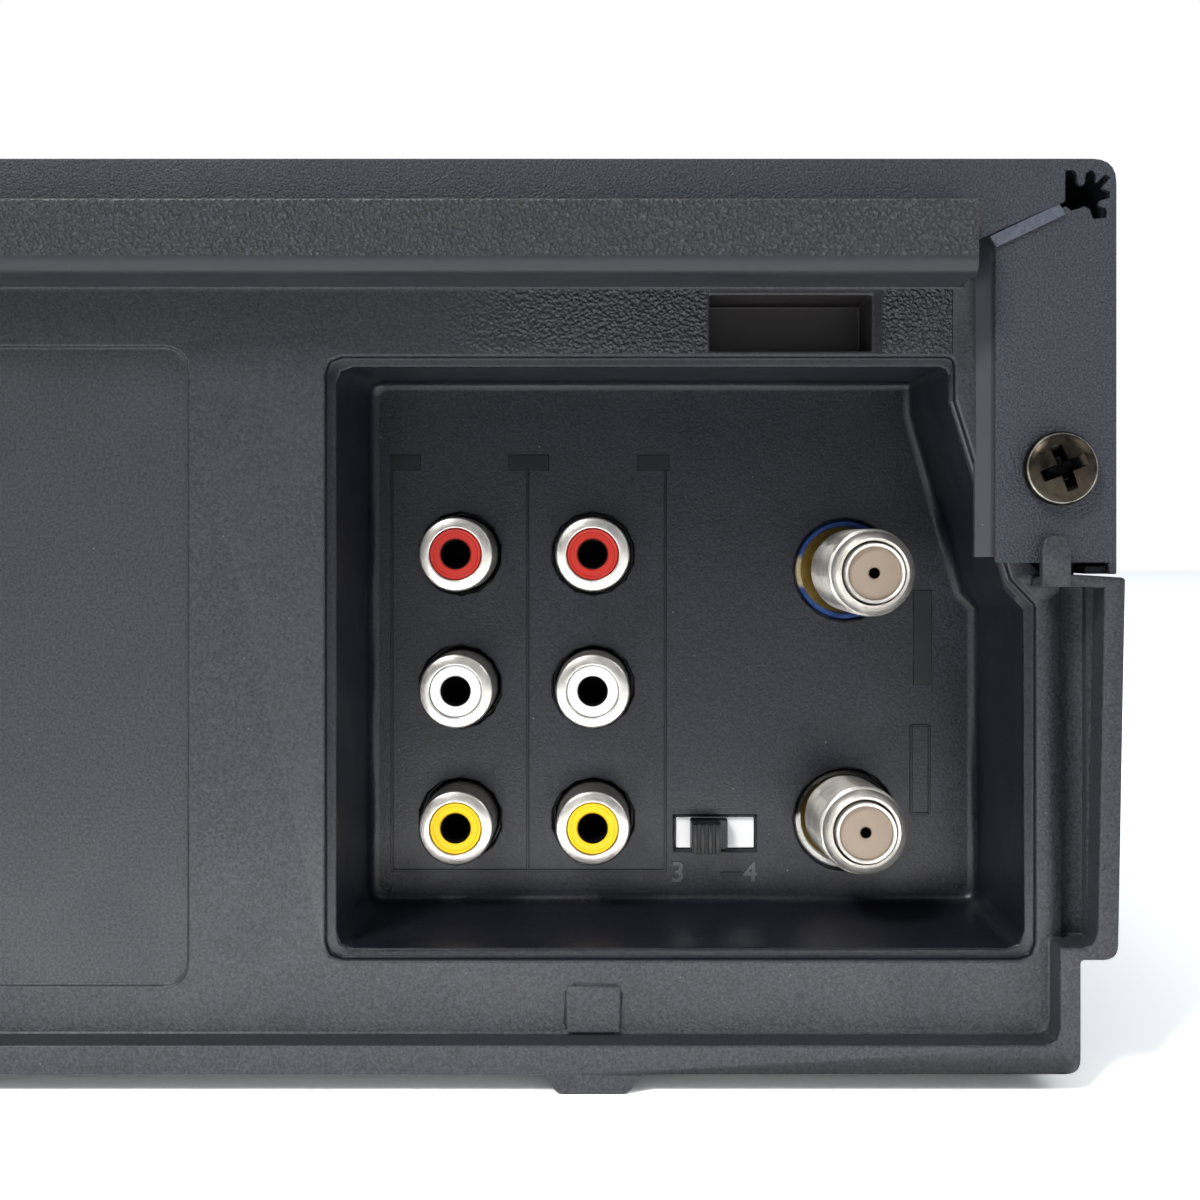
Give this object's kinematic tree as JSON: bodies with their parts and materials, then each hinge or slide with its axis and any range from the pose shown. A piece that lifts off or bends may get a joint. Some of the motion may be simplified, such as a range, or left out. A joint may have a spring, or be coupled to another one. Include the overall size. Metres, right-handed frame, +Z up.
{
  "type": "video cassette recorder",
  "caption": "Front-loading VHS video cassette recorder with a steel cover, a moulded base frame and a recessed rear jack bay.",
  "frame": {"origin": "centre of the footprint, on the surface the recorder stands on", "axes": "+X to the right seen from the front, +Y from the front panel to the rear, +Z up"},
  "size_m": [0.36, 0.258, 0.093],
  "materials": {
    "frame_plastic": "fine moulded texture, near black",
    "panel_plastic": "smooth satin, near black",
    "key_plastic": "glossy, near black",
    "smoked_plastic": "smoked clear plastic",
    "red_plastic": "moulded red",
    "white_plastic": "moulded off-white",
    "yellow_plastic": "moulded yellow",
    "beige_plastic": "natural dielectric plastic",
    "cover_paint": "dark textured paint on sheet steel",
    "nickel": "nickel plate",
    "plated_steel": "zinc-plated sheet and turned steel",
    "drum_aluminium": "turned",
    "dark_screw": "dark nickel",
    "board": "brown paper-phenolic board",
    "black_rubber": "matte"
  },
  "bodies": {
    "chassis": {"base_frame": "frame_plastic", "top_cover": "cover_paint", "front_panel": "panel_plastic", "display_window": "smoked_plastic", "cover_screw_left": "dark_screw", "cover_screw_right": "dark_screw", "front_foot_left": "black_rubber", "front_foot_right": "black_rubber", "phono_jack_block": "frame_plastic", "tuner_can": "plated_steel", "channel_switch_body": "white_plastic", "main_board": "board", "power_board": "board", "front_board": "board", "power_transformer": "plated_steel", "display_module": "smoked_plastic", "deck_plate": "plated_steel", "lower_drum": "drum_aluminium", "audio_head": "nickel", "erase_head": "nickel", "side_frame_left": "frame_plastic", "side_frame_right": "frame_plastic", "jack_shell_video_in": "nickel", "jack_insulator_video_in": "yellow_plastic", "jack_shell_video_out": "nickel", "jack_insulator_video_out": "yellow_plastic", "jack_shell_left_in": "nickel", "jack_insulator_left_in": "white_plastic", "jack_shell_left_out": "nickel", "jack_insulator_left_out": "white_plastic", "jack_shell_right_in": "nickel", "jack_insulator_right_in": "red_plastic", "jack_shell_right_out": "nickel", "jack_insulator_right_out": "red_plastic", "antenna_in_connector": "nickel", "antenna_in_dielectric": "beige_plastic", "antenna_out_connector": "nickel", "antenna_out_dielectric": "beige_plastic"},
    "cassette_door": {"cassette_door": "panel_plastic"},
    "channel_knob": {"channel_switch_knob": "frame_plastic"},
    "head_drum": {"upper_drum": "drum_aluminium", "drum_rotor": "plated_steel"},
    "capstan": {"capstan": "plated_steel"},
    "pinch_arm": {"pinch_arm": "plated_steel"},
    "pinch_roller": {"pinch_roller": "black_rubber"},
    "supply_reel": {"supply_reel_table": "frame_plastic"},
    "takeup_reel": {"takeup_reel_table": "frame_plastic"},
    "idler_arm": {"idler_arm": "plated_steel"},
    "idler_wheel": {"idler_wheel": "black_rubber"},
    "supply_guide": {"supply_guide": "plated_steel"},
    "takeup_guide": {"takeup_guide": "plated_steel"},
    "carriage_slider": {"carriage_slider": "plated_steel"},
    "cassette_holder": {"cassette_holder": "plated_steel"},
    "channel_rocker": {"channel_rocker": "key_plastic"},
    "rewind_button": {"rewind_button": "key_plastic"},
    "play_button": {"play_button": "key_plastic"},
    "fast_forward_button": {"fast_forward_button": "key_plastic"},
    "record_button": {"record_button": "key_plastic"},
    "power_button": {"power_button": "key_plastic"},
    "stop_eject_button": {"stop_eject_button": "key_plastic"}
  },
  "joints": [
    {"name": "door_hinge", "type": "hinge", "parent": "chassis", "child": "cassette_door", "pos_m": [0, -0.1273, 0.0828], "axis": [1, 0, 0], "range_deg": [0, 86], "stiffness_Nm_per_rad": 0.004, "springref_deg": -28.65},
    {"name": "carriage_slide", "type": "slide", "parent": "chassis", "child": "carriage_slider", "axis": [0, 1, 0], "range_m": [0, 0.06]},
    {"name": "holder_lift", "type": "slide", "parent": "carriage_slider", "child": "cassette_holder", "axis": [0, 0, -1], "range_m": [0, 0.022]},
    {"name": "channel_knob_slide", "type": "slide", "parent": "chassis", "child": "channel_knob", "axis": [-1, 0, 0], "range_m": [0, 0.0015]},
    {"name": "channel_rock", "type": "hinge", "parent": "chassis", "child": "channel_rocker", "pos_m": [0.1412, -0.1267, 0.067], "axis": [1, 0, 0], "range_deg": [-5, 5], "stiffness_Nm_per_rad": 0.1},
    {"name": "drum_spin", "type": "hinge", "parent": "chassis", "child": "head_drum", "pos_m": [0, 0.072, 0.046], "axis": [0, 0.1045, 0.9945], "continuous": true},
    {"name": "capstan_spin", "type": "hinge", "parent": "chassis", "child": "capstan", "pos_m": [0.066, 0.042, 0.04], "axis": [0, 0, 1], "continuous": true},
    {"name": "pinch_swing", "type": "hinge", "parent": "chassis", "child": "pinch_arm", "pos_m": [0.09245, 0.06583, 0.034], "axis": [0, 0, 1], "range_deg": [0, 25], "stiffness_Nm_per_rad": 0.05},
    {"name": "pinch_roller_spin", "type": "hinge", "parent": "pinch_arm", "child": "pinch_roller", "pos_m": [0.06684, 0.06132, 0.046], "axis": [0, 0, 1], "continuous": true},
    {"name": "supply_reel_spin", "type": "hinge", "parent": "chassis", "child": "supply_reel", "pos_m": [-0.046, -0.031, 0.03], "axis": [0, 0, 1], "continuous": true},
    {"name": "takeup_reel_spin", "type": "hinge", "parent": "chassis", "child": "takeup_reel", "pos_m": [0.046, -0.031, 0.03], "axis": [0, 0, 1], "continuous": true},
    {"name": "idler_swing", "type": "hinge", "parent": "chassis", "child": "idler_arm", "pos_m": [0, -0.05, 0.026], "axis": [0, 0, 1], "range_deg": [-15, 15]},
    {"name": "idler_spin", "type": "hinge", "parent": "idler_arm", "child": "idler_wheel", "pos_m": [0, -0.028, 0.029], "axis": [0, 0, 1], "continuous": true},
    {"name": "supply_guide_travel", "type": "hinge", "parent": "chassis", "child": "supply_guide", "pos_m": [0, 0.05, 0.028], "axis": [0, 0, 1], "range_deg": [-82, 0]},
    {"name": "takeup_guide_travel", "type": "hinge", "parent": "chassis", "child": "takeup_guide", "pos_m": [0, 0.05, 0.028], "axis": [0, 0, 1], "range_deg": [0, 82]},
    {"name": "rewind_press", "type": "slide", "parent": "chassis", "child": "rewind_button", "axis": [0, 1, 0], "range_m": [0, 0.0012], "stiffness_N_per_m": 250},
    {"name": "play_press", "type": "slide", "parent": "chassis", "child": "play_button", "axis": [0, 1, 0], "range_m": [0, 0.0012], "stiffness_N_per_m": 250},
    {"name": "fast_forward_press", "type": "slide", "parent": "chassis", "child": "fast_forward_button", "axis": [0, 1, 0], "range_m": [0, 0.0012], "stiffness_N_per_m": 250},
    {"name": "record_press", "type": "slide", "parent": "chassis", "child": "record_button", "axis": [0, 1, 0], "range_m": [0, 0.0012], "stiffness_N_per_m": 250},
    {"name": "power_press", "type": "slide", "parent": "chassis", "child": "power_button", "axis": [0, 1, 0], "range_m": [0, 0.0012], "stiffness_N_per_m": 250},
    {"name": "stop_eject_press", "type": "slide", "parent": "chassis", "child": "stop_eject_button", "axis": [0, 1, 0], "range_m": [0, 0.0012], "stiffness_N_per_m": 250}
  ],
  "couplings": [
    {"joint": "takeup_guide_travel", "follows": "supply_guide_travel", "ratio": -1}
  ]
}
